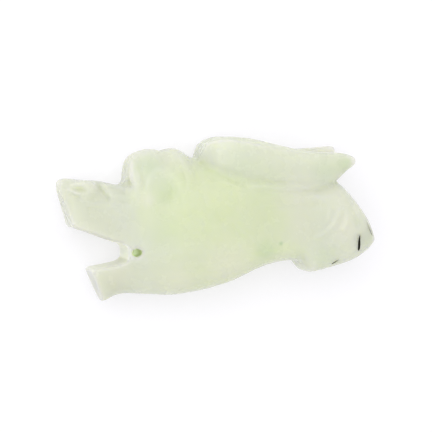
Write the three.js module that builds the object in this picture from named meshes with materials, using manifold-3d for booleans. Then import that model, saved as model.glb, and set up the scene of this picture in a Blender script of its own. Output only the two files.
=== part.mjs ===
// A small dragon's head carved from one piece of pale green stone, lying on its right side.
// Millimetres. X runs from the snout to the neck, Y from the chin to the horns, and Z up from
// the surface it lies on, so the head's left side looks up. The middle plane of the carving is
// level, and most forms are made once for each side of it.

import * as THREE from 'three';
import { LoftGeometry } from 'three/addons/geometries/LoftGeometry.js';
import { mergeVertices } from 'three/addons/utils/BufferGeometryUtils.js';
import Module from 'manifold-3d';

const wasm = await Module();
wasm.setup();

// Driving dimensions
const MIDDLE = 10;             // height of the middle plane over the surface the head lies on
const SNOUT_END = -38.4;       // the head's stone starts here, before the front is cut to shape
const NECK_END = 38;           // the sharp corner at the back of the neck
const SECTIONS = 46;           // sections along the head
const SECTION_SIDES = 32;      // points round each of them
const HORN_SECTIONS = 16;
const HORN_SIDES = 18;
const ROUND_HALF = 3;          // points round half of a carving tool
const HOLE_RADIUS = 0.9;       // the cord hole at the corner of the mouth
const HOLE_AT = [-19.7, -7.35];
const CUT_REACH = 60;          // half the reach of a tool that passes the whole stone
const LEFT = 1;
const RIGHT = -1;

// A smooth curve y(x) through a few points
function lineThrough(points) {
  const slope = (i) => {
    const before = points[Math.max(i - 1, 0)];
    const after = points[Math.min(i + 1, points.length - 1)];
    return (after[1] - before[1]) / (after[0] - before[0]);
  };
  return (x) => {
    let i = 0;
    while (i < points.length - 2 && x > points[i + 1][0]) i++;
    const [x0, y0] = points[i];
    const [x1, y1] = points[i + 1];
    const width = x1 - x0;
    const t = THREE.MathUtils.clamp((x - x0) / width, 0, 1);
    const t2 = t * t;
    const t3 = t2 * t;
    return (2 * t3 - 3 * t2 + 1) * y0 + (t3 - 2 * t2 + t) * width * slope(i)
      + (3 * t2 - 2 * t3) * y1 + (t3 - t2) * width * slope(i + 1);
  };
}

// The head in profile: the snout's bridge, the two lobes of the brow, the saddle before the
// horns, the crest under them and the back of the neck
const headTop = lineThrough([
  [-38.4, 9], [-36.8, 9.9], [-35, 10], [-31.4, 9.5], [-27.9, 9.4], [-25.2, 8.8], [-22.7, 8.4],
  [-21.5, 9.5], [-21.3, 13], [-20.8, 15], [-18.6, 16.2], [-15.8, 17.1], [-13.9, 17], [-12.7, 16],
  [-11.3, 17.2], [-9.4, 17.2], [-8, 16.3], [-6.8, 15], [-4, 14.9], [0, 14.9], [6, 14.2],
  [13, 12.8], [20, 11.4], [27.5, 9.9], [29.8, 8.6], [32.5, 5.7], [35, 2.5], [36.9, -0.7], [38, -4.6],
]);

// The chin, the belly of the lower jaw, the throat and the cut under the neck
const headBottom = lineThrough([
  [-38.4, -19.5], [-27.1, -19.4], [-25.7, -18.7], [-23.2, -17.4], [-17.4, -17.5], [-10.4, -17.8],
  [-7, -17.3], [-3.2, -16.7], [3.6, -14.7], [9.4, -11.9], [12.8, -10.6], [16.4, -9.9], [19.6, -9.9],
  [21, -10.8], [21.7, -12.9], [25, -13], [29.2, -11.6], [33.6, -9.5], [36.3, -7.5], [38, -5.2],
]);

// The head from above: half its width
const headHalf = lineThrough([
  [-38.4, 3.6], [-37.2, 5], [-35.6, 6.1], [-33.6, 6.8], [-30.5, 7.2], [-26, 7.2], [-21.5, 7.4],
  [-16.5, 8.6], [-10, 9.8], [-4, 10.2], [4, 10.25], [13, 10], [22, 9.8], [29, 10.15], [33, 10.1],
  [35.6, 9.2], [38, 7.6],
]);

// The line along which the head is widest
const headWaist = lineThrough([[-38.4, -3], [10, -1.5], [28, -1.6], [38, -4.9]]);

// How square the sections are: 2 is an ellipse, more has flatter sides
const headSquareness = lineThrough([
  [-38.4, 3], [-30, 3.3], [-20, 3.3], [-8, 3], [4, 3.2], [14, 3.8], [28, 3.9], [38, 3.6],
]);

// Below the waist the front of the head is rounder, so that the lower jaw is narrow
const headLowerSquareness = lineThrough([
  [-38.4, 2.2], [-28, 2.3], [-20, 2.8], [-8, 3], [4, 3.2], [14, 3.8], [28, 3.9], [38, 3.6],
]);

// Half the width of the bare head at a place of its profile
function headSide(x, y) {
  const waist = headWaist(x);
  const reach = y > waist ? headTop(x) - waist : waist - headBottom(x);
  const n = y > waist ? headSquareness(x) : headLowerSquareness(x);
  const up = Math.min(Math.abs((y - waist) / reach), 0.98);
  return headHalf(x) * (1 - up ** n) ** (1 / n);
}

// A rounded oblong across X: round the section from its top, over the left side
function section(x, { bottom, top, waist, centre, half, squareness, lowerSquareness = squareness, sides }) {
  return Array.from({ length: sides }, (_, i) => {
    const turn = (i / sides) * 2 * Math.PI;
    const power = 2 / (Math.cos(turn) > 0 ? squareness : lowerSquareness);
    const up = Math.sign(Math.cos(turn)) * Math.abs(Math.cos(turn)) ** power;
    const out = Math.sign(Math.sin(turn)) * Math.abs(Math.sin(turn)) ** power;
    const reach = up > 0 ? top - waist : waist - bottom;
    return new THREE.Vector3(x, waist + reach * up, MIDDLE + centre + half * out);
  });
}

// A closed geometry becomes a solid that can be joined and cut
function solid(geometry) {
  const bare = new THREE.BufferGeometry();
  bare.setAttribute('position', geometry.getAttribute('position').clone());
  if (geometry.index) bare.setIndex(geometry.index.clone());
  const merged = mergeVertices(bare, 1e-4);
  return new wasm.Manifold(new wasm.Mesh({
    numProp: 3,
    vertProperties: Float32Array.from(merged.getAttribute('position').array),
    triVerts: Uint32Array.from(merged.index.array),
  }));
}

function loft(sections) {
  return solid(new LoftGeometry(sections, { closed: true, capStart: true, capEnd: true }));
}

// Places along X for the sections of a loft, closer together where its profile is steep
function spread(from, to, count, lines) {
  const step = (to - from) / 2000;
  const run = [0];
  for (let x = from; run.length <= 2000; x += step) {
    const rise = Math.max(...lines.map((line) => Math.abs(line(x + step) - line(x))));
    run.push(run.at(-1) + Math.hypot(step, rise));
  }
  return Array.from({ length: count }, (_, i) => {
    const reach = (i / (count - 1)) * run.at(-1);
    return from + step * Math.min(run.findIndex((length) => length >= reach), 2000);
  });
}

// The head without horns
function head() {
  return loft(spread(SNOUT_END, NECK_END, SECTIONS, [headTop, headBottom]).map((x) => section(x, {
    bottom: headBottom(x),
    top: headTop(x),
    waist: headWaist(x),
    centre: 0,
    half: headHalf(x),
    squareness: headSquareness(x),
    lowerSquareness: headLowerSquareness(x),
    sides: SECTION_SIDES,
  })));
}

// A horn lies back along the head like a long leaf. The left one is drawn down to a point, and
// the right one is cut off blunt and a little higher.
const hornTop = {
  [LEFT]: lineThrough([
    [-4, 15.6], [-3.5, 17.3], [-2.3, 18.6], [-0.4, 19.4], [1.8, 19.8], [6.6, 19.5], [9, 19.1],
    [12.6, 18.2], [16, 17.4], [20.2, 16.5], [25.9, 16], [30.2, 15.8], [32.9, 14.8],
  ]),
  [RIGHT]: lineThrough([
    [-4, 15.6], [-3.5, 17.3], [-2.3, 18.6], [-0.4, 19.4], [1.8, 19.8], [6.6, 19.5], [11.2, 18.8],
    [15.4, 17.7], [20, 16.8], [25, 17], [31, 17.5],
  ]),
};
const hornBottom = {
  [LEFT]: lineThrough([
    [-4, 13.6], [-2, 11.8], [0.8, 10.2], [4.6, 8.7], [9, 7.7], [14, 7.3], [20, 7.3], [26.6, 7.9],
    [28.4, 9.3], [29.4, 10.5], [31, 11.8], [32.9, 13.1],
  ]),
  [RIGHT]: lineThrough([
    [-4, 13.6], [-2, 11.8], [0.8, 10.2], [4.6, 8.7], [9, 7.7], [14, 7.3], [20, 7.3], [26, 8.3],
    [27.8, 10.6], [29.4, 12.6], [31, 13.9],
  ]),
};
const HORN_FRONT = -4;
const HORN_BACK = { [LEFT]: 32.9, [RIGHT]: 31 };
const hornOuter = lineThrough([
  [-4, 5.4], [-2.6, 7.4], [0, 8.9], [5, 9.7], [12, 9.9], [24, 9.9], [29, 9.7], [32.9, 8.7],
]);
const hornInner = lineThrough([[-4, -0.6], [3, -0.6], [8, 1.2], [16, 2.5], [26, 2.9], [32.9, 3.4]]);

function horn(side) {
  const lines = [hornTop[side], hornBottom[side]];
  return loft(spread(HORN_FRONT, HORN_BACK[side], HORN_SECTIONS, lines).map((x) => section(x, {
    bottom: hornBottom[side](x),
    top: hornTop[side](x),
    waist: (hornBottom[side](x) + hornTop[side](x)) / 2,
    centre: side * (hornOuter(x) + hornInner(x)) / 2,
    half: (hornOuter(x) - hornInner(x)) / 2,
    squareness: 3.4,
    sides: HORN_SIDES,
  })));
}

// A tool with the given outline in profile that passes through the whole stone
function throughTool(outline) {
  const shape = new THREE.Shape(outline.map(([x, y]) => new THREE.Vector2(x, y)));
  return solid(new THREE.ExtrudeGeometry(shape, { depth: 2 * CUT_REACH, bevelEnabled: false })
    .translate(0, 0, MIDDLE - CUT_REACH));
}

// Points along a smooth line in profile
function bend(points, steps) {
  const curve = new THREE.SplineCurve(points.map(([x, y]) => new THREE.Vector2(x, y)));
  return curve.getPoints(steps).map(({ x, y }) => [x, y]);
}

// The sawn front: the snout leans back under the nose, the mouth is a wedge with a flat back,
// and the lower jaw ends in a slanting face
function sawnFront() {
  return throughTool([
    [-CUT_REACH, -CUT_REACH], [-26.6, -CUT_REACH],
    ...bend([[-26.9, -19.8], [-27.9, -17.2], [-28.7, -15], [-30.1, -11.6]], 4),
    ...bend([[-29.2, -11.1], [-25.4, -10.4], [-22.4, -9.7], [-21.5, -8.7]], 6),
    ...bend([[-21.5, -6.8], [-22.5, -5.4], [-25.3, -4.75], [-30, -3], [-34.4, -1.5]], 8),
    [-35.9, 3.3], [-37.2, 6.9], [-37.6, 9], [-37.6, CUT_REACH], [-CUT_REACH, CUT_REACH],
  ]);
}

// The neck is sawn off flat below
const NECK_CUT = [[21, -13], [33.6, -9.4]];

function neckSaw() {
  const [[x0, y0], [x1, y1]] = NECK_CUT;
  const slope = (y1 - y0) / (x1 - x0);
  const far = NECK_END + 4;
  return throughTool([[x0, y0 - 8], [far, y0 - 8], [far, y0 + slope * (far - x0)], [x0, y0]]);
}

// Depth of the surface of the head at a place of its profile, on one side
function surface(x, y, side) {
  return MIDDLE + side * headSide(x, y);
}

// A round tool drawn along a line on one side of the head, its middle `lift` over the surface.
// It runs out at both ends by `runOut`, up for a cut and down for a raised line.
function stroke(points, radius, side, { lift = 0, runOut = 1.2 * radius, steps } = {}) {
  const count = steps ?? 3 * (points.length - 1);
  const path = new THREE.CatmullRomCurve3(bend(points, count).map(([x, y], i) => {
    const out = runOut * Math.abs((2 * i) / count - 1) ** 6;
    return new THREE.Vector3(x, y, MIDDLE + side * (headSide(x, y) + lift + out));
  }));
  const round = new THREE.Shape().absarc(0, 0, radius, 0, 2 * Math.PI);
  return solid(new THREE.ExtrudeGeometry(round, {
    steps: count,
    curveSegments: ROUND_HALF,
    extrudePath: path,
  }));
}

// A rounded pocket or boss on one side of the head
function pebble([x, y], [rx, ry, rz], side, lift) {
  return solid(new THREE.SphereGeometry(1, 12, 8)
    .scale(rx, ry, rz)
    .translate(x, y, surface(x, y, side) + side * lift));
}

// The eyelid's arch and the bulge of the nose stand out from the head
const EYELID = [
  [-17.6, 3.4], [-17.6, 7.2], [-16.8, 10.2], [-14.6, 12.4], [-12.3, 11.6], [-10.9, 9.7], [-9.7, 7.2],
];

function raised(side) {
  return [
    stroke(EYELID, 1, side, { lift: -0.6, runOut: -1.2, steps: 14 }),
    pebble([-31.9, 6.7], [4.8, 3, 2.6], side, -1.7),
  ];
}

// The carved lines that both sides have: each line in profile, the radius of its tool, and how
// high over the surface the tool's middle runs
const CARVED_LINES = {
  underTheHorn: {
    points: [
      [-4.4, 13.6], [-2, 12.2], [0.8, 10.7], [4.6, 9.3], [8.6, 8.2], [13.9, 7.7], [19.8, 7.8], [28.8, 8.2],
    ],
    radius: 1,
    lift: 0.85,
  },
  underTheNeckBand: { points: [[7, 3.1], [16.3, 3.2], [23.3, 3.5], [29, 4.8]], radius: 0.8, lift: 0.6 },
  behindTheCheek: {
    points: [[-5, 0.8], [0.4, 0.2], [4.1, -2.6], [8.6, -6.6], [11.6, -10.2]],
    radius: 3,
    lift: 2.65,
  },
  behindTheNose: { points: [[-28.8, 10], [-27.6, 7.8], [-26.6, 6.2], [-25.4, 4.3]], radius: 0.9, lift: 0.4 },
  upperNostril: { points: [[-35, 7.7], [-33.4, 7.9], [-31.4, 7.2]], radius: 0.9, lift: 0.9 },
  lowerNostril: { points: [[-34.6, 6], [-33.2, 5.8], [-31.8, 6.6]], radius: 0.6, lift: 0.9 },
  underTheNose: { points: [[-32.2, 3.8], [-30.3, 3.3], [-28.6, 3.2]], radius: 0.6, lift: 0.25 },
  beforeTheBrow: { points: [[-21.6, 9.6], [-21.2, 7.1], [-21.5, 4.6]], radius: 0.8, lift: 0.4 },
  behindTheBrow: {
    points: [[-10.6, 17], [-10, 13.8], [-9, 11.6], [-8.2, 9.2], [-8.6, 6.2]],
    radius: 0.9,
    lift: 0.65,
  },
  alongTheNeckRim: {
    points: [[28.7, 6.9], [30.3, 4.9], [31.6, 2.6], [32.7, 0], [33.3, -2.2]],
    radius: 0.8,
    lift: 0.5,
  },
};

// The locks of the mane, which only the left side has
const MANE_LINES = {
  frontLock: { points: [[27.6, 2.9], [26.6, 0.3], [25.2, -2], [23.4, -4.6]], radius: 0.7, lift: 0.5 },
  rearLock: { points: [[29.3, 3], [28.7, -0.2], [27, -3.6]], radius: 0.6, lift: 0.45 },
};

function cutLines(lines, side) {
  return Object.values(lines).map(({ points, radius, lift }) => stroke(points, radius, side, { lift }));
}

// The eye is a low dome in a shallow socket
function eyeSocket(side) {
  return pebble([-13.6, 6.9], [3.2, 4.2, 2], side, 1.35);
}

function eyeball(side) {
  return pebble([-13.5, 6.8], [1.8, 2.3, 1.4], side, -1.4);
}

// A round furrow along the middle parts the two brows
const FURROW_RADIUS = 1.7;

function browFurrow() {
  const line = [[-22.4, 12.4], [-19.4, 15.6], [-15.8, 16.6], [-12.8, 16.2], [-9.4, 16.6], [-6, 15.4]];
  const path = new THREE.CatmullRomCurve3(line.map(([x, y]) => new THREE.Vector3(x, y + 0.3, MIDDLE)));
  const round = new THREE.Shape().absarc(0, 0, FURROW_RADIUS, 0, 2 * Math.PI);
  return solid(new THREE.ExtrudeGeometry(round, { steps: 12, curveSegments: 5, extrudePath: path }));
}

// Narrow slots by the rim of the neck, on the left side
const SLOTS = [
  { from: [33.45, -3.2], to: [33.2, -7.4], width: 0.9, depth: 1 },
  { from: [26.6, -10.8], to: [28.6, -9.4], width: 0.6, depth: 0.8 },
];

function slot({ from, to, width, depth }) {
  const [x0, y0] = from;
  const [x1, y1] = to;
  const length = Math.hypot(x1 - x0, y1 - y0);
  const x = (x0 + x1) / 2;
  const y = (y0 + y1) / 2;
  return solid(new THREE.SphereGeometry(1, 8, 8)
    .scale(length / 2, width / 2, depth)
    .rotateZ(Math.atan2(y1 - y0, x1 - x0))
    .translate(x, y, surface(x, y, LEFT)));
}

function cordHole() {
  return solid(new THREE.CylinderGeometry(HOLE_RADIUS, HOLE_RADIUS, 2 * CUT_REACH, 14)
    .rotateX(Math.PI / 2)
    .translate(HOLE_AT[0], HOLE_AT[1], MIDDLE));
}

// The right side is rubbed flat where the head lies
function floorCut() {
  return solid(new THREE.BoxGeometry(2 * CUT_REACH, 2 * CUT_REACH, CUT_REACH)
    .translate(0, 0, -CUT_REACH / 2));
}

function carving() {
  const sides = [LEFT, RIGHT];
  const joined = (stone, forms) => forms.reduce((soFar, form) => soFar.add(form), stone);
  const cut = (stone, tools) => tools.reduce((soFar, tool) => soFar.subtract(tool), stone);
  const bare = joined(head(), [...sides.map(horn), ...sides.flatMap(raised)]);
  const withEyes = joined(cut(bare, sides.map(eyeSocket)), sides.map(eyeball));
  return cut(withEyes, [
    sawnFront(),
    neckSaw(),
    browFurrow(),
    ...sides.flatMap((side) => cutLines(CARVED_LINES, side)),
    ...cutLines(MANE_LINES, LEFT),
    ...SLOTS.map(slot),
    cordHole(),
    floorCut(),
  ]);
}

function geometryOf(stone) {
  const { vertProperties, triVerts } = stone.getMesh();
  const geometry = new THREE.BufferGeometry();
  geometry.setAttribute('position', new THREE.BufferAttribute(vertProperties, 3));
  geometry.setIndex(new THREE.BufferAttribute(triVerts, 1));
  geometry.computeVertexNormals();
  return geometry;
}

const paleGreenStone = new THREE.MeshStandardMaterial({ color: 0xdde3c6, roughness: 0.22, metalness: 0 });
const dragonHead = new THREE.Mesh(geometryOf(carving()), paleGreenStone);
dragonHead.name = 'dragon_head_carving';

const group = new THREE.Group();
group.add(dragonHead);

export default group;
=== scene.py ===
import math

import bmesh
import bpy
import numpy as np
from mathutils import Matrix, Vector
from mathutils.bvhtree import BVHTree
from mathutils.geometry import intersect_point_line


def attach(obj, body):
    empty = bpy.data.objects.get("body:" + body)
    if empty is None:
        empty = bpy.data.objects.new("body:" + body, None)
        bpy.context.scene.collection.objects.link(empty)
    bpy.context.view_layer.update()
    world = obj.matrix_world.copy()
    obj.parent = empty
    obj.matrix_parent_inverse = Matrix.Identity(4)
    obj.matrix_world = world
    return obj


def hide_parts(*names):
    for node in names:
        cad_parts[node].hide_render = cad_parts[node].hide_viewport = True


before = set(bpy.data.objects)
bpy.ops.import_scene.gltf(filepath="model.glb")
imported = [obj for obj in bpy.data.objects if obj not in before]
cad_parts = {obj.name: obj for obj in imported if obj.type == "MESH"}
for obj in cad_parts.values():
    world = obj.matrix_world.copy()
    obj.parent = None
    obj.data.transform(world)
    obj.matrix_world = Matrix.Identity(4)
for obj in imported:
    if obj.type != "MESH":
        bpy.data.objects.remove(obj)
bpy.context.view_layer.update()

# A small dragon's head carved from one piece of pale green stone, lying on its right side.
# The carver's values are millimetres, and MM turns them into the metres that Blender holds.
MM = 0.001
NODE = "dragon_head_carving"
THICKNESS = 20.0
MIDDLE = THICKNESS / 2

# The photograph's view: nearly straight down, leaning a little towards the snout
PHOTO_SIDE = 432
PIXELS_PER_MM = 4.2
SENSOR = 36.0
CAMERA_REACH = 500.0
CAMERA_CLIP = (10.0, 10000.0)
LEAN_TO_SNOUT = 0.2125
LEAN_TO_CROWN = 0.04
AIM = Vector((0.65, 0.8, MIDDLE))

# The studio, in metres: a white table in a pale room, with a large soft lamp nearly overhead
ROOM_LIGHT = 0.74
LAMP_PLACE = Vector((-0.30, 0.22, 0.93))
LAMP_WIDTH = 1.2
LAMP_POWER = 5.3
TABLE_HALF = 3.0
TABLE_COLOUR = (0.515, 0.507, 0.537, 1.0)
TABLE_GLOW = 0.49
WHITE = (1.0, 1.0, 1.0, 1.0)


def new_object(name, data):
    made = bpy.data.objects.new(name, data)
    bpy.context.scene.collection.objects.link(made)
    return made


def new_mesh(name, bm):
    """A mesh of all that the bmesh holds. The bmesh is used up."""
    mesh = bpy.data.meshes.new(name)
    bm.to_mesh(mesh)
    bm.free()
    return mesh


def put(socket, value):
    """Links a socket, or sets its value."""
    if isinstance(value, bpy.types.NodeSocket):
        socket.id_data.links.new(value, socket)
    else:
        socket.default_value = value


def put_all(node, values):
    for name, value in values.items():
        put(node.inputs[name], value)


def camera():
    data = bpy.data.cameras.new("photo_camera")
    data.sensor_width = SENSOR
    data.lens = PIXELS_PER_MM * SENSOR * CAMERA_REACH / PHOTO_SIDE
    data.clip_start, data.clip_end = (reach * MM for reach in CAMERA_CLIP)
    shown = new_object("photo_camera", data)
    towards = Vector((-LEAN_TO_SNOUT, LEAN_TO_CROWN, 1.0)).normalized()
    right = Vector((0.0, 1.0, 0.0)).cross(towards).normalized()
    turned = Matrix((right, towards.cross(right), towards)).transposed().to_4x4()
    shown.matrix_world = Matrix.Translation((AIM + towards * CAMERA_REACH) * MM) @ turned
    bpy.context.scene.camera = shown


def room():
    scene = bpy.context.scene
    scene.view_settings.view_transform = "Standard"
    scene.world = bpy.data.worlds.new("white_room")
    scene.world.use_nodes = True
    put_all(scene.world.node_tree.nodes["Background"], {"Color": WHITE, "Strength": ROOM_LIGHT})


def soft_lamp():
    data = bpy.data.lights.new("soft_lamp", "AREA")
    data.shape = "DISK"
    data.size = LAMP_WIDTH
    data.energy = LAMP_POWER
    lamp = new_object("soft_lamp", data)
    lamp.location = LAMP_PLACE
    lamp.rotation_euler = (-LAMP_PLACE).to_track_quat("-Z", "Y").to_euler()


def white_table():
    bm = bmesh.new()
    bmesh.ops.create_grid(bm, x_segments=1, y_segments=1, size=TABLE_HALF)
    table = new_object("white_table", new_mesh("white_table", bm))
    white = bpy.data.materials.new("white_table")
    white.use_nodes = True
    put_all(white.node_tree.nodes["Principled BSDF"], {
        "Base Color": TABLE_COLOUR,
        "Roughness": 1.0,
        "Specular IOR Level": 0.0,
        "Emission Color": WHITE,
        "Emission Strength": TABLE_GLOW,
    })
    table.data.materials.append(white)


# The carved lines of the left side, in profile. A ridge stands out and a groove goes in by
# depth, and either has gone flat at its width from the line.
LEFT_LINES = [
    ("upper arm of the nostril", [(-36.7, 8.2), (-34.6, 7.9), (-32.2, 7.5), (-30.8, 7.3)], 0.9, -0.1),
    ("lower arm of the nostril", [(-36.0, 6.9), (-34.3, 6.0), (-32.9, 5.4)], 0.8, -0.36),
    ("groove behind the nose", [(-28.5, 9.2), (-27.6, 7.6), (-26.6, 6.3), (-25.9, 5.2)], 0.9, -0.18),
    ("fold behind that groove", [(-27.2, 9.0), (-26.0, 7.3), (-24.6, 5.4)], 0.9, 0.05),
    ("lip of the nose", [(-32.2, 4.7), (-30.3, 4.2), (-28.6, 4.1)], 0.7, 0.1),
    ("front rim of the brow", [(-20.9, 9.9), (-20.7, 12.2), (-20.3, 14.2)], 0.7, 0.18),
    ("valley behind that rim", [(-18.9, 15.3), (-19.2, 12.4), (-18.8, 9.6), (-18.4, 6.8)], 1.1, -0.22),
    ("small crease of the cheek", [(-23.4, 5.2), (-22.4, 4.6), (-21.3, 4.4)], 0.6, -0.15),
    ("front of the eyelid", [(-17.4, 2.8), (-17.3, 6.0), (-17.4, 8.6), (-15.6, 11.6)], 1.5, 0.1),
    ("back of the eyelid", [(-14.0, 12.8), (-12.0, 11.0), (-10.2, 8.7), (-9.4, 6.6)], 1.2, 0.03),
    ("fold behind the brow", [
        (-10.6, 16.0), (-10.1, 13.8), (-9.0, 11.7), (-8.4, 9.4), (-8.9, 6.0),
    ], 0.7, -0.08),
    ("ridge behind that fold", [(-9.3, 15.4), (-8.9, 13.6), (-7.8, 11.6), (-7.2, 9.2)], 0.8, 0.06),
    ("crease at the root of the horn", [(-3.0, 14.4), (-4.2, 13.4), (-5.3, 12.4)], 0.8, -0.1),
    ("edge of the horn", [
        (-3.9, 15.2), (-3.4, 16.7), (-2.5, 17.9), (0.6, 18.6), (5.5, 18.3), (10.2, 17.3), (18.0, 15.9),
    ], 0.6, 0.25),
    ("fill of the groove's front", [(-3.0, 12.9), (-0.6, 11.5), (2.7, 10.3), (6.4, 9.1)], 1.0, 0.25),
    ("fine groove under the horn", [
        (-3.9, 12.9), (-1.4, 11.7), (2.7, 10.3), (7.1, 8.9), (9.4, 8.2),
    ], 0.5, -0.1),
    ("fill of the groove's rear", [
        (5.6, 9.1), (8.6, 8.3), (13.9, 7.8), (19.8, 7.8), (26.6, 8.1),
    ], 1.5, 0.4),
    ("ridge under the horn", [
        (-3.9, 12.2), (-1.0, 10.5), (1.8, 9.0), (4.3, 8.0), (8.4, 6.8),
    ], 0.9, 0.1),
    ("band of the neck", [(8.4, 6.2), (14.0, 6.0), (20.0, 5.7), (27.2, 5.4)], 1.5, 0.1),
    ("line under the band", [(8.0, 3.3), (14.0, 3.3), (20.0, 3.4), (25.6, 3.9)], 0.6, -0.06),
    ("line behind the cheek", [
        (-3.4, 0.7), (0.4, 0.0), (4.1, -2.6), (8.2, -6.4), (10.6, -9.2),
    ], 1.6, -0.08),
    ("front lock", [
        (29.2, 3.4), (28.3, 1.4), (27.3, -0.5), (26.2, -1.9), (25.0, -3.0), (21.9, -4.9),
    ], 1.1, 0.14),
    ("middle lock", [(30.2, 2.6), (30.1, -0.5), (29.1, -2.7)], 1.0, 0.14),
    ("rear lock", [(26.2, 2.8), (26.0, 0.8), (25.6, -0.5)], 0.7, 0.1),
    ("groove inside the neck's rim", [(28.9, 6.6), (31.2, 3.5), (32.6, -0.3), (33.2, -1.9)], 0.8, -0.12),
]

# The right side is plainer, with fewer and shorter lines
RIGHT_LINES = [
    ("upper arm of the nostril", [(-35.4, 7.3), (-33.8, 7.6), (-31.6, 7.2)], 0.7, -0.2),
    ("groove behind the nose", [(-28.3, 9.0), (-27.2, 7.0), (-25.8, 4.9)], 0.7, -0.2),
    ("front of the eyelid", [(-17.4, 3.0), (-17.3, 6.0), (-17.4, 8.4)], 1.1, 0.15),
    ("fold behind the brow", [(-10.4, 15.6), (-9.6, 12.6), (-8.4, 9.4), (-8.8, 6.4)], 0.6, -0.15),
    ("edge of the horn", [
        (-2.9, 16.2), (-1.4, 17.8), (1.4, 18.4), (6.4, 18.1), (12.0, 17.0),
    ], 0.6, 0.12),
    ("ridge under the horn", [(-3.6, 12.0), (-1.0, 10.5), (1.8, 9.0), (4.3, 8.0)], 0.9, 0.15),
]

# A carved line is curved in short steps. It fades towards either end, where a small share of
# its depth is left, and where the skin turns away from its side.
LINE_STEPS = 6
FADE_RUN = 0.25
SHARE_AT_ENDS = 0.15
LEAST_FACING = 0.1
FULL_FACING = 0.5


def on_curve(t, before, start, end, after):
    """The value at t, 0 to 1, of a smooth curve from start to end."""
    bend = 2 * before - 5 * start + 4 * end - after
    sway = 3 * start - before - 3 * end + after
    return 0.5 * (2 * start + (end - before) * t + bend * t**2 + sway * t**3)


def smooth_line(points, steps):
    """Points along a smooth curve through the given ones."""
    ends = [points[0]] + list(points) + [points[-1]]
    line = []
    for four in zip(ends, ends[1:], ends[2:], ends[3:]):
        for i in range(steps):
            line.append(Vector([on_curve(i / steps, *values) for values in zip(*four)]))
    return line + [Vector(points[-1])]


def off_line(place, line):
    """How far a place in profile is from a line, and how far along the line it is, 0 to 1."""
    best = (math.inf, 0.0)
    for i, (a, b) in enumerate(zip(line, line[1:])):
        t = min(max(intersect_point_line(place, a, b)[1], 0.0), 1.0)
        gap = (place - a.lerp(b, t)).length
        if gap < best[0]:
            best = (gap, (i + t) / (len(line) - 1))
    return best


def bell(t):
    """1 in the middle, 0 from 1 on, and smooth between, for a number or an array."""
    return 0.5 + 0.5 * np.cos(math.pi * np.minimum(t, 1.0))


def applied(piece, name):
    """The piece's mesh with its modifiers in it."""
    held = piece.evaluated_get(bpy.context.evaluated_depsgraph_get())
    mesh = bpy.data.meshes.new_from_object(held)
    mesh.name = name
    bpy.data.objects.remove(piece)
    return mesh


# How fine the stone's skin is made, and how near the solid's corners have to be to count as one
SKIN = 0.315
WELD = 0.0005


def rough_skin():
    """An even, fine skin over the solid."""
    bm = bmesh.new()
    bm.from_mesh(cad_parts[NODE].data)
    bmesh.ops.remove_doubles(bm, verts=bm.verts, dist=WELD * MM)
    piece = new_object("rough_skin", new_mesh("rough_skin", bm))
    remesh = piece.modifiers.new("skin", "REMESH")
    remesh.mode = "VOXEL"
    remesh.voxel_size = SKIN * MM
    remesh.use_smooth_shade = True
    return applied(piece, "carved_skin")


# The sawn faces in profile, the area they lie in, and how far from them the stone keeps a crisp
# edge. The front of the snout was rubbed soft.
CUT_STEPS = 2
JAW_FRONT = smooth_line([(-26.9, -19.8), (-27.9, -17.2), (-28.7, -15.0), (-30.1, -11.6)], CUT_STEPS)
JAW_TOP = smooth_line([
    (-30.1, -11.6), (-29.2, -11.1), (-25.4, -10.4), (-22.4, -9.7), (-21.5, -8.7),
], CUT_STEPS)
MOUTH_BACK = smooth_line([(-21.5, -8.7), (-21.5, -6.8), (-22.5, -5.4), (-25.3, -4.75)], CUT_STEPS)
JAW_ROOF = smooth_line([(-25.3, -4.75), (-30.0, -3.0), (-34.4, -1.5)], CUT_STEPS)
SAWN = JAW_FRONT + JAW_TOP[1:] + MOUTH_BACK[1:] + JAW_ROOF[1:]
SAWN_LEFT, SAWN_RIGHT = -35.5, -20.6
SAWN_LOW, SAWN_HIGH = -21.0, -0.5
EDGE_REACH = 0.9


def by_a_saw_cut(place):
    if not (SAWN_LEFT < place.x < SAWN_RIGHT and SAWN_LOW < place.y < SAWN_HIGH):
        return False
    return off_line(place, SAWN)[0] < EDGE_REACH


def profile(v):
    return Vector((v.co.x / MM, v.co.y / MM))


# Polishing goes in rounds. A soft round wears the stone down. An even round wears it and lets
# it out again, which takes off facets but keeps its fullness.
WEAR = 0.5
EVEN_WEAR, EVEN_RETURN = 0.6, -0.62
FLANK_ROUNDS = (12, 10)
EDGE_ROUNDS = 3
LAST_ROUNDS = (2, 4)

# Places that were rubbed softer than the rest: the middle in profile, the reach and the rounds
WORN_PLACES = [
    ("hollow of the eye", (-13.7, 7.6), 6.0, 22),
    ("eye", (-13.7, 7.6), 4.4, 20),
    ("nostril", (-33.2, 6.9), 3.6, 18),
    ("root of the horn", (-4.4, 13.0), 2.6, 10),
]


def smooth(bm, verts, factor):
    bmesh.ops.smooth_vert(
        bm, verts=verts, factor=factor, use_axis_x=True, use_axis_y=True, use_axis_z=True)


def polish(bm, verts, soft, even=0):
    for _ in range(soft):
        smooth(bm, verts, WEAR)
    for _ in range(even):
        smooth(bm, verts, EVEN_WEAR)
        smooth(bm, verts, EVEN_RETURN)


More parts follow.
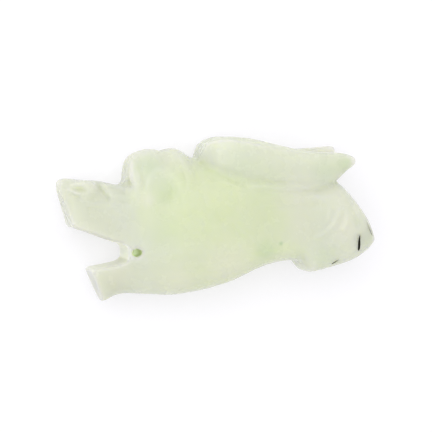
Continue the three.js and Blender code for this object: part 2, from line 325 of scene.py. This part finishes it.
def carve(bm, lines, side):
    """Moves the skin along its normal where the carved lines of one side run."""
    tools = []
    for _, points, width, depth in lines:
        line = smooth_line(points, LINE_STEPS)
        low = [min(p[i] for p in line) - width for i in range(2)]
        high = [max(p[i] for p in line) + width for i in range(2)]
        tools.append((line, width, depth, low, high))
    bm.normal_update()
    moves = {}
    for v in bm.verts:
        facing = v.normal.z * side
        if facing < LEAST_FACING or (v.co.z / MM - MIDDLE) * side < 0.0:
            continue
        place = profile(v)
        push = 0.0
        for line, width, depth, low, high in tools:
            if low[0] < place.x < high[0] and low[1] < place.y < high[1]:
                gap, along = off_line(place, line)
                ends = min(1.0, min(along, 1.0 - along) / FADE_RUN + SHARE_AT_ENDS)
                push += depth * bell(gap / width) * ends
        if push:
            moves[v] = v.normal * (push * min(1.0, facing / FULL_FACING) * MM)
    for v, move in moves.items():
        v.co += move


def carved_head(finishes):
    mesh = rough_skin()
    bm = bmesh.new()
    bm.from_mesh(mesh)
    flank = [v for v in bm.verts if not by_a_saw_cut(profile(v))]
    polish(bm, flank, *FLANK_ROUNDS)
    for _, middle, reach, rounds in WORN_PLACES:
        polish(bm, [v for v in flank if (profile(v) - Vector(middle)).length < reach], rounds)
    polish(bm, bm.verts, EDGE_ROUNDS)
    carve(bm, LEFT_LINES, 1)
    carve(bm, RIGHT_LINES, -1)
    polish(bm, bm.verts, *LAST_ROUNDS)
    for v in bm.verts:
        v.co.z = max(v.co.z, 0.0)
    bm.to_mesh(mesh)
    bm.free()
    return pierced(new_object("carved_skin", mesh), finishes)


# The hole for a cord runs through the corner of the mouth, and the cord has worn its left end
# wide. A ring of its cutter has its height, its middle along X, and half its width along X and Y.
HOLE_X = -19.7
HOLE_Y = -7.35
HOLE_SIDES = 48
HOLE_RINGS = [
    (-20.0, -19.8, 1.05, 1.05), (1.9, -19.8, 1.05, 1.05), (2.7, HOLE_X, 0.88, 0.88),
    (16.5, -19.6, 0.88, 0.88), (17.6, -19.85, 1.28, 0.94), (30.0, -19.85, 1.28, 0.94),
]

# Two narrow slots are cut into the neck's left side, and a thin cut runs along its rim, filled dark
# as painted shade: the upper and the lower end in profile, half the width and the depth
SLOTS = [
    ("tall slot", (33.45, -3.25), (33.2, -7.35), 0.35, 0.6),
    ("slanting slot", (28.6, -9.35), (26.6, -10.7), 0.13, 0.3),
    # Painted shade: this cut, filled near-black, draws the dark line at the neck's edge
    ("shaded cut at the rim", (35.35, -0.7), (37.6, -5.3), 0.06, 0.3),
]

# A slot's cutter starts as a ball of radius 1 and is narrowed more and more towards its upper
# end, which leaves it about 0.7 at its widest. It is set on the skin that is found from overhead.
SLOT_SIDES, SLOT_RINGS = 24, 16
SLOT_MIDDLE = 0.6
SLOT_TAPER = 0.4
SLOT_WIDEST = 0.7
OVERHEAD = 3.0 * THICKNESS

# Where the two cuts' finishes are in the stone's list of materials, after its own
HOLE_FINISH = 1
SLOT_FINISH = 2


def pierced(skin, finishes):
    """Cuts the cord hole and the slots into the skin."""
    tree = BVHTree.FromObject(skin, bpy.context.evaluated_depsgraph_get())
    bm = bmesh.new()
    hole_cutter(bm)
    hole = set(bm.faces)
    for _, upper, lower, half, depth in SLOTS:
        slot_cutter(bm, tree, Vector(upper), Vector(lower), half, depth)
    for face in bm.faces:
        face.material_index = HOLE_FINISH if face in hole else SLOT_FINISH
    bmesh.ops.scale(bm, vec=(MM, MM, MM), verts=bm.verts)
    tools = new_object("piercing_tools", new_mesh("piercing_tools", bm))
    for piece in (skin, tools):
        for finish in finishes:
            piece.data.materials.append(finish)
    cut = skin.modifiers.new("cut", "BOOLEAN")
    cut.operation = "DIFFERENCE"
    cut.solver = "MANIFOLD"
    cut.object = tools
    mesh = applied(skin, "carved_dragon_head")
    bpy.data.objects.remove(tools)
    return new_object("carved_dragon_head", mesh)


def hole_cutter(bm):
    """Rings from the right side to the left one, joined and closed."""
    rings = []
    for height, middle, half_x, half_y in HOLE_RINGS:
        ring = bmesh.ops.create_circle(bm, segments=HOLE_SIDES, radius=1.0)["verts"]
        place = Matrix.Translation((middle, HOLE_Y, height))
        size = Matrix.Diagonal((half_x, half_y, 1.0, 1.0))
        bmesh.ops.transform(bm, matrix=place @ size, verts=ring)
        rings.append(list({e for v in ring for e in v.link_edges}))
    for lower, upper in zip(rings, rings[1:]):
        bmesh.ops.bridge_loops(bm, edges=lower + upper)
    bmesh.ops.holes_fill(bm, edges=rings[0] + rings[-1], sides=0)
    bmesh.ops.recalc_face_normals(bm, faces=bm.faces)


def slot_cutter(bm, tree, upper, lower, half, depth):
    """A lens that stands across the skin, narrow at its upper end and wide near its lower one."""
    made = bmesh.ops.create_uvsphere(
        bm, u_segments=SLOT_SIDES, v_segments=SLOT_RINGS, radius=1.0)["verts"]
    for v in made:
        v.co.y *= SLOT_MIDDLE + SLOT_TAPER * v.co.x
    run = lower - upper
    middle = (upper + lower) / 2
    found = tree.ray_cast(Vector((middle.x, middle.y, OVERHEAD)) * MM, Vector((0.0, 0.0, -1.0)))[0]
    place = Matrix.Translation((middle.x, middle.y, found.z / MM))
    turn = Matrix.Rotation(math.atan2(run.y, run.x), 4, "Z")
    size = Matrix.Diagonal((run.length / 2, half / SLOT_WIDEST, depth, 1.0))
    bmesh.ops.transform(bm, matrix=place @ turn @ size, verts=made)


# The stone's colour is told from its shape. Its bulk is how far it reaches behind a place, as
# the mean of a few directions and a share of the greatest. A hollow lies lower than the mean of
# its neighbours, after some rounds of averaging, and an edge stands higher.
GREATEST_BULK = 30.0
SLANTS = [
    (0.0, 0.0), (1.0, 0.0), (-1.0, 0.0), (0.0, 1.0), (0.0, -1.0),
    (1.4, 1.4), (-1.4, 1.4), (-1.4, -1.4), (1.4, -1.4),
]
JUST_INSIDE = 0.05
HOLLOW_ROUNDS = 10

# Rounds of averaging that soften a mark on the stone
SOFTER_BULK = 14
SOFTER_HOLLOW = 2
SOFTER_FACE = 1

# A sawn face is steep and lies near its line. The jaw's top takes a share of the mouth's painted light.
# An edge is sharp from some height above that mean on, and there it gets painted shade; none is marked
# by the cord hole.
FACE_TILT = 0.6
FACE_REACH = 0.3
JAW_TOP_SHARE = 0.25
SHARP_FROM = 0.10
SHARP_RANGE = 0.07
CLEAR_OF_HOLE = 1.9

# Where the stone is greener, and where it is paler: the middle of each place, its reach and how
# strong it is. On the eye and at the front of the brow the greener tint is painted shade.
GREEN_AND_SHADED_PLACES = [
    ("tip of the horn", (31.5, 13.8, 18.5), 5.5, 0.5),
    ("rear of the horn", (25.4, 11.6, 19.5), 6.0, 0.2),
    ("end of the line behind the cheek", (10.6, -7.2, 19.5), 4.5, 0.3),
    ("rim by the tall slot", (35.2, -5.0, 18.8), 3.2, 0.12),
    ("small dot on the neck", (14.2, -5.4, 19.7), 0.8, 0.9),
    # Painted shade in the hollow of the eye
    ("eye", (-13.4, 7.2, 18.4), 7.5, 0.16),
    # Painted shade on the front of the brow, which the lamp lights more than the rest
    ("front of the brow", (-16.8, 12.8, 16.6), 5.0, 0.26),
    ("neck above the tall slot", (32.8, -0.6, 19.8), 2.2, 0.2),
    ("cheek behind the mouth", (-13.5, -3.2, 19.2), 6.5, 0.15),
    ("front of the horn", (4.5, 14.1, 19.6), 6.0, 0.1),
    ("neck by the slanting slot", (25.1, -9.1, 19.3), 4.5, 0.18),
]
PALE_PLACES = [
    ("far horn", (28.0, 16.0, 4.0), 9.0, 0.65),
    ("locks of the mane", (29.8, -1.5, 19.8), 7.0, 0.5),
    ("front of the eyelid", (-17.4, 5.0, 18.4), 3.2, 0.4),
    ("neck's rim", (33.6, 3.2, 18.6), 3.4, 0.25),
    ("end of the band", (27.6, 5.6, 19.6), 5.0, 0.3),
    ("lower cheek", (1.5, -9.5, 19.0), 9.0, 0.45),
    ("lower jaw", (-10.0, -13.5, 17.5), 7.0, 0.35),
    ("band of the neck", (19.0, 5.0, 19.6), 9.0, 0.4),
    ("neck under the band", (19.0, -3.0, 19.8), 7.0, 0.3),
    ("tip of the lower jaw", (-24.0, -13.5, 16.0), 6.0, 0.35),
]


def marked(places, spots):
    """How strongly each place lies in one of a few round spots."""
    total = np.zeros(len(places))
    for _, middle, reach, strength in spots:
        total += strength * bell(np.linalg.norm(places - np.array(middle), axis=1) / reach)
    return np.minimum(total, 1.0)[:, None]


def averaged(values, edges, rounds):
    """Each place's value becomes the mean of its neighbours', round after round."""
    a, b = edges[:, 0], edges[:, 1]
    size = len(values)
    count = np.maximum(np.bincount(a, minlength=size) + np.bincount(b, minlength=size), 1)
    for _ in range(rounds):
        values = np.stack([
            np.bincount(a, weights=column[b], minlength=size)
            + np.bincount(b, weights=column[a], minlength=size)
            for column in values.T
        ], axis=1) / count[:, None]
    return values


def bulk_behind(mesh):
    """How far the stone reaches behind each vertex, 0 to 1."""
    tree = BVHTree.FromPolygons(
        [v.co for v in mesh.vertices], [tuple(f.vertices) for f in mesh.polygons])
    reached = []
    for v in mesh.vertices:
        inward = -v.normal
        across = inward.orthogonal().normalized()
        along = inward.cross(across)
        start = v.co + inward * (JUST_INSIDE * MM)
        total = 0.0
        for i, j in SLANTS:
            gap = tree.ray_cast(start, (inward + across * i + along * j).normalized())[3]
            total += min((gap or 0.0) / MM, GREATEST_BULK)
        reached.append([total / len(SLANTS) / GREATEST_BULK])
    return np.array(reached)


def on_faces(places, normals, line):
    """1 for the places of a sawn face, and 0 for the others."""
    marks = []
    for place, normal in zip(places, normals):
        near = abs(normal[2]) < FACE_TILT and place[0] < SAWN_RIGHT
        marks.append([float(near and off_line(Vector(place[:2]), line)[0] < FACE_REACH)])
    return np.array(marks)


def on_sawn_edges(places, sunk):
    """1 where the stone is sharp by a sawn face, and 0 at the cord hole and elsewhere."""
    by_cut = np.array([by_a_saw_cut(Vector(place[:2])) for place in places])
    clear = np.linalg.norm(places[:, :2] - np.array((HOLE_X, HOLE_Y)), axis=1) > CLEAR_OF_HOLE
    sharp = np.clip((-sunk[:, 0] - SHARP_FROM) / SHARP_RANGE, 0.0, 1.0)
    return np.where(by_cut & clear, sharp, 0.0)[:, None]


def mark_stone(mesh):
    """Writes what the stone's colour follows as attributes of the mesh."""
    edges = np.array([edge.vertices for edge in mesh.edges])
    places = np.array([v.co for v in mesh.vertices]) / MM
    normals = np.array([v.normal for v in mesh.vertices])
    sunk = averaged(places, edges, HOLLOW_ROUNDS) - places
    sunk = averaged((sunk * normals).sum(axis=1, keepdims=True), edges, SOFTER_HOLLOW)
    mouth = np.maximum(
        on_faces(places, normals, MOUTH_BACK), JAW_TOP_SHARE * on_faces(places, normals, JAW_TOP))
    marks = {
        "bulk": averaged(bulk_behind(mesh), edges, SOFTER_BULK),
        "hollow": sunk,
        "mouth": averaged(mouth, edges, SOFTER_FACE),
        "edge": on_sawn_edges(places, sunk),
        "front": averaged(on_faces(places, normals, JAW_FRONT), edges, SOFTER_FACE),
        "green": marked(places, GREEN_AND_SHADED_PLACES),
        "pale": marked(places, PALE_PLACES),
    }
    for name, values in marks.items():
        mesh.attributes.new(name, "FLOAT", "POINT").data.foreach_set("value", values[:, 0])


def new_group(name, sockets_in, sockets_out):
    """A node group from a place and numbers to numbers, and the sockets inside it."""
    tree = bpy.data.node_groups.new(name, "ShaderNodeTree")
    tree.interface.new_socket("Where", in_out="INPUT", socket_type="NodeSocketVector")
    for socket, value in sockets_in.items():
        made = tree.interface.new_socket(socket, in_out="INPUT", socket_type="NodeSocketFloat")
        made.default_value = value
    for socket in sockets_out:
        tree.interface.new_socket(socket, in_out="OUTPUT", socket_type="NodeSocketFloat")
    return tree, tree.nodes.new("NodeGroupInput").outputs, tree.nodes.new("NodeGroupOutput").inputs


def maths(tree, operation, *values):
    node = tree.nodes.new("ShaderNodeMath")
    node.operation = operation
    for socket, value in zip(node.inputs, values):
        put(socket, value)
    return node.outputs[0]


def between(tree, value, low, high):
    """0 at low, 1 at high, and smooth between."""
    node = tree.nodes.new("ShaderNodeMapRange")
    node.interpolation_type = "SMOOTHSTEP"
    put_all(node, {"Value": value, "From Min": low, "From Max": high})
    return node.outputs["Result"]


def blend(tree, share, first, second, kind="MIX"):
    node = tree.nodes.new("ShaderNodeMix")
    node.data_type = "RGBA"
    node.blend_type = kind
    put_all(node, {"Factor": share, "A": first, "B": second})
    return node.outputs["Result"]


def noise(tree, where, scale, detail, roughness):
    node = tree.nodes.new("ShaderNodeTexNoise")
    put_all(node, {"Vector": where, "Scale": scale, "Detail": detail, "Roughness": roughness})
    return node.outputs["Fac"]


def attribute(tree, name):
    node = tree.nodes.new("ShaderNodeAttribute")
    node.attribute_name = name
    return node.outputs["Fac"]


def placed(tree, group, **values):
    """A node group put into a material, with its inputs set by name."""
    node = tree.nodes.new("ShaderNodeGroup")
    node.node_tree = group
    put_all(node, values)
    return node.outputs


# What lies in the depth of the stone, from a noise for each: its scale per metre, its detail
# and its roughness, and the values at which it starts and is full
DEPTH_PATTERNS = [
    ("Cloud", 120.0, 2.0, 0.5, 0.25, 0.85),
    ("Fleck", 620.0, 3.0, 0.62, 0.38, 0.95),
    ("Patch", 46.0, 1.0, 0.5, 0.40, 0.80),
]

# The marks of rubbing by hand, each from a noise: broad waves, fine lines that run roughly along
# the head, and dull places
WAVE_NOISE = (320.0, 1.0, 0.4)
LINE_NOISE = (1.0, 2.0, 0.7)
LINE_TURN = (0.3, 0.2, 0.5)
LINE_SCALE = (900.0, 6500.0, 2600.0)
DULL_NOISE = (210.0, 3.0, 0.6)
DULL_RANGE = (0.35, 0.70)


def clouds_group():
    """Soft clouds, denser flecks and greener patches in the depth of the stone."""
    tree, given, result = new_group(
        "clouds_in_stone", {"Size": 1.0}, [row[0] for row in DEPTH_PATTERNS])
    for name, scale, detail, roughness, start, full in DEPTH_PATTERNS:
        sized = maths(tree, "DIVIDE", scale, given["Size"])
        grain = noise(tree, given["Where"], sized, detail, roughness)
        put(result[name], between(tree, grain, start, full))
    return tree


def wear_group():
    """The fine unevenness of a surface that was ground and rubbed by hand."""
    tree, given, result = new_group(
        "hand_rubbed_surface", {"Waves": 1.0, "Scratches": 0.3}, ["Height", "Dullness"])
    where = given["Where"]
    stretched = tree.nodes.new("ShaderNodeMapping")
    put_all(stretched, {"Vector": where, "Rotation": LINE_TURN, "Scale": LINE_SCALE})
    waves = maths(tree, "MULTIPLY", noise(tree, where, *WAVE_NOISE), given["Waves"])
    lines = noise(tree, stretched.outputs["Vector"], *LINE_NOISE)
    lines = maths(tree, "MULTIPLY", lines, given["Scratches"])
    put(result["Height"], maths(tree, "ADD", waves, lines))
    put(result["Dullness"], between(tree, noise(tree, where, *DULL_NOISE), *DULL_RANGE))
    return tree


# The stone's colours, as linear light. A shade is painted by multiplying it into what lies under it,
# and a glow is painted light that the stone gives off: in the cord hole it stands in for light that
# has come through thin stone, and in the mouth it lifts the shade between the jaws.
# Painted shade: where the stone is thin, at its edges and limbs, its colour is darker
SHADED_THIN_STONE = (0.575, 0.595, 0.500, 1.0)
USUAL_STONE = (0.652, 0.678, 0.570, 1.0)
THICK_STONE = (0.665, 0.722, 0.480, 1.0)
CLOUDY_STONE = (0.688, 0.696, 0.606, 1.0)
GREENER_STONE = (0.590, 0.655, 0.465, 1.0)
GREEN_AND_SHADE_STONE = (0.440, 0.558, 0.355, 1.0)
PALE_STONE = (0.730, 0.722, 0.640, 1.0)
# Painted highlight: paler and greyer on ridges and convex edges
RIDGE_HIGHLIGHT_STONE = (0.670, 0.672, 0.600, 1.0)
# Painted shade along the sharp edges of the sawn faces
SAWN_EDGE_SHADE = (0.83, 0.835, 0.80, 1.0)
# Painted shade: darker and greener in the grooves
GROOVE_SHADE = (0.955, 0.975, 0.835, 1.0)
FRONT_STONE = (0.592, 0.602, 0.566, 1.0)
# Painted light: the mouth's walls are brighter and give off a little light, which lifts the shade
# between the jaws
MOUTH_LIGHTENED_STONE = (0.855, 0.862, 0.775, 1.0)
MOUTH_PAINTED_LIGHT = (0.071, 0.068, 0.055, 1.0)
UNLIT = (0.0, 0.0, 0.0, 1.0)
# Painted shade: a darker green for the stone inside the hole
HOLE_SHADED_STONE = (0.46, 0.53, 0.31, 1.0)
HOLE_SHADE = (0.05, 0.055, 0.03, 1.0)
HOLE_GLOW = (0.29, 0.325, 0.215, 1.0)
THIN_WALL_GLOW = (0.17, 0.195, 0.105, 1.0)
SLOT_DARK = (0.020, 0.021, 0.010, 1.0)
SLOT_FLECK = (0.09, 0.09, 0.05, 1.0)

# How much of each pattern shows, and the bulk and the hollow, in millimetres, at which a colour
# starts and is full
CLOUD_SHARE = 0.25
PATCH_SHARE = 0.25
FLECK_SHARE = 0.15
THIN_TO_USUAL = (0.25, 0.62)
USUAL_TO_THICK = (0.56, 0.84)
RIDGE_RANGE = (-0.06, -0.16)
GROOVE_RANGE = (0.02, 0.20)

# The polish, as a roughness, what makes it duller, and the marks of rubbing
POLISHED = 0.22
DULLER_WHERE_RUBBED = 0.10
DULLER_IN_GROOVES = 0.15
DULLER_WHERE_SAWN = 0.30
RUB_WAVES = 1.0
RUB_SCRATCHES = 0.25
RUB_DEPTH = 0.04
RUB_STRENGTH = 0.5

# How far light reaches into the stone, and the stone's gloss
LIGHT_REACH = 9.0
LIGHT_REACH_BY_COLOUR = (1.0, 1.0, 0.7)
STONE_IOR = 1.56
STONE_SPECULAR = 0.3

# The cord hole is given a painted glow around the middle of its height, and otherwise where only a
# thin wall parts it from the mouth: where each glow starts and is full, in metres
HOLE_CLOUD_SIZE = 0.6
HOLE_CLOUD_SHARE = 0.3
HOLE_ROUGHNESS = 0.45
GLOW_FROM_TOP = (17.0 * MM, 9.5 * MM)
GLOW_FROM_FOOT = (3.0 * MM, 8.0 * MM)
THIN_WALL = (-20.1 * MM, -20.8 * MM)

# Near-black in the slots and along the rim, with paler flecks; along the rim it is painted shade
SLOT_CLOUD_SIZE = 0.3
SLOT_FLECK_SHARE = 0.3
SLOT_ROUGHNESS = 0.8


def new_material(name):
    material = bpy.data.materials.new(name)
    material.use_nodes = True
    tree = material.node_tree
    where = tree.nodes.new("ShaderNodeTexCoord").outputs["Object"]
    return material, tree, tree.nodes["Principled BSDF"], where


def translucent(shader):
    put_all(shader, {
        "Subsurface Weight": 1.0,
        "Subsurface Scale": LIGHT_REACH * MM,
        "Subsurface Radius": LIGHT_REACH_BY_COLOUR,
        "IOR": STONE_IOR,
        "Specular IOR Level": STONE_SPECULAR,
        "Emission Strength": 1.0,
    })


def pale_green_stone(clouds, wear):
    material, tree, shader, where = new_material("polished_green_stone")
    cloud = placed(tree, clouds, Where=where, Size=1.0)
    bulk, hollow, edge = (attribute(tree, name) for name in ("bulk", "hollow", "edge"))
    mouth, front = attribute(tree, "mouth"), attribute(tree, "front")
    groove = between(tree, hollow, *GROOVE_RANGE)
    layers = [
        # Painted shade where the stone is thin, fading out where it is thicker
        (between(tree, bulk, *THIN_TO_USUAL), USUAL_STONE, "MIX"),
        (between(tree, bulk, *USUAL_TO_THICK), THICK_STONE, "MIX"),
        (maths(tree, "MULTIPLY", cloud["Cloud"], CLOUD_SHARE), CLOUDY_STONE, "MIX"),
        (maths(tree, "MULTIPLY", cloud["Patch"], PATCH_SHARE), GREENER_STONE, "MIX"),
        (maths(tree, "MULTIPLY", cloud["Fleck"], FLECK_SHARE), CLOUDY_STONE, "MIX"),
        (attribute(tree, "green"), GREEN_AND_SHADE_STONE, "MIX"),
        (attribute(tree, "pale"), PALE_STONE, "MIX"),
        # Painted light: a highlight on the ridges, and shade along the sawn edges and in the grooves
        (between(tree, hollow, *RIDGE_RANGE), RIDGE_HIGHLIGHT_STONE, "MIX"),
        (edge, SAWN_EDGE_SHADE, "MULTIPLY"),
        (groove, GROOVE_SHADE, "MULTIPLY"),
        (front, FRONT_STONE, "MIX"),
        (mouth, MOUTH_LIGHTENED_STONE, "MIX"),
    ]
    colour = SHADED_THIN_STONE
    for share, over, kind in layers:
        colour = blend(tree, share, colour, over, kind)
    put(shader.inputs["Base Color"], colour)

    # Painted light: the mouth gives off a little light, except at its sharp edges
    lit = maths(tree, "MULTIPLY", mouth, maths(tree, "SUBTRACT", 1.0, edge))
    put(shader.inputs["Emission Color"], blend(tree, lit, UNLIT, MOUTH_PAINTED_LIGHT))

    rubbed = placed(tree, wear, Where=where, Waves=RUB_WAVES, Scratches=RUB_SCRATCHES)
    duller = [
        (rubbed["Dullness"], DULLER_WHERE_RUBBED),
        (groove, DULLER_IN_GROOVES),
        (maths(tree, "MAXIMUM", mouth, front), DULLER_WHERE_SAWN),
    ]
    roughness = POLISHED
    for mask, added in duller:
        roughness = maths(tree, "ADD", roughness, maths(tree, "MULTIPLY", mask, added))
    put(shader.inputs["Roughness"], roughness)

    bump = tree.nodes.new("ShaderNodeBump")
    put_all(bump, {
        "Height": rubbed["Height"], "Distance": RUB_DEPTH * MM, "Strength": RUB_STRENGTH,
    })
    put(shader.inputs["Normal"], bump.outputs["Normal"])
    translucent(shader)
    return material


def stone_in_the_hole(clouds):
    material, tree, shader, where = new_material("stone_in_the_hole")
    cloud = placed(tree, clouds, Where=where, Size=HOLE_CLOUD_SIZE)
    cloudy = maths(tree, "MULTIPLY", cloud["Cloud"], HOLE_CLOUD_SHARE)
    place = tree.nodes.new("ShaderNodeSeparateXYZ")
    put(place.inputs["Vector"], where)
    from_top = between(tree, place.outputs["Z"], *GLOW_FROM_TOP)
    from_foot = between(tree, place.outputs["Z"], *GLOW_FROM_FOOT)
    thin = between(tree, place.outputs["X"], *THIN_WALL)
    # Painted light: the hole's walls give off a glow that is dim at both ends of the hole and full
    # around the middle of its height, and another by the thin wall to the mouth
    light = blend(tree, maths(tree, "MULTIPLY", from_top, from_foot), HOLE_SHADE, HOLE_GLOW)
    put_all(shader, {
        "Base Color": blend(tree, cloudy, HOLE_SHADED_STONE, THICK_STONE),
        "Emission Color": blend(tree, thin, light, THIN_WALL_GLOW),
        "Roughness": HOLE_ROUGHNESS,
    })
    translucent(shader)
    return material


def dark_in_the_slots(clouds):
    material, tree, shader, where = new_material("dark_in_the_slots")
    cloud = placed(tree, clouds, Where=where, Size=SLOT_CLOUD_SIZE)
    flecked = maths(tree, "MULTIPLY", cloud["Fleck"], SLOT_FLECK_SHARE)
    put_all(shader, {
        "Base Color": blend(tree, flecked, SLOT_DARK, SLOT_FLECK),
        "Roughness": SLOT_ROUGHNESS,
    })
    return material


# An edge of the stone is shaded sharp past this angle between its faces, in degrees
SHARP_ANGLE = 50.0

camera()
room()
soft_lamp()
white_table()
clouds, wear = clouds_group(), wear_group()
head = carved_head([
    pale_green_stone(clouds, wear), stone_in_the_hole(clouds), dark_in_the_slots(clouds),
])
mark_stone(head.data)
head.data.shade_smooth()
head.data.set_sharp_from_angle(angle=math.radians(SHARP_ANGLE))
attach(head, "root")
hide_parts(NODE)
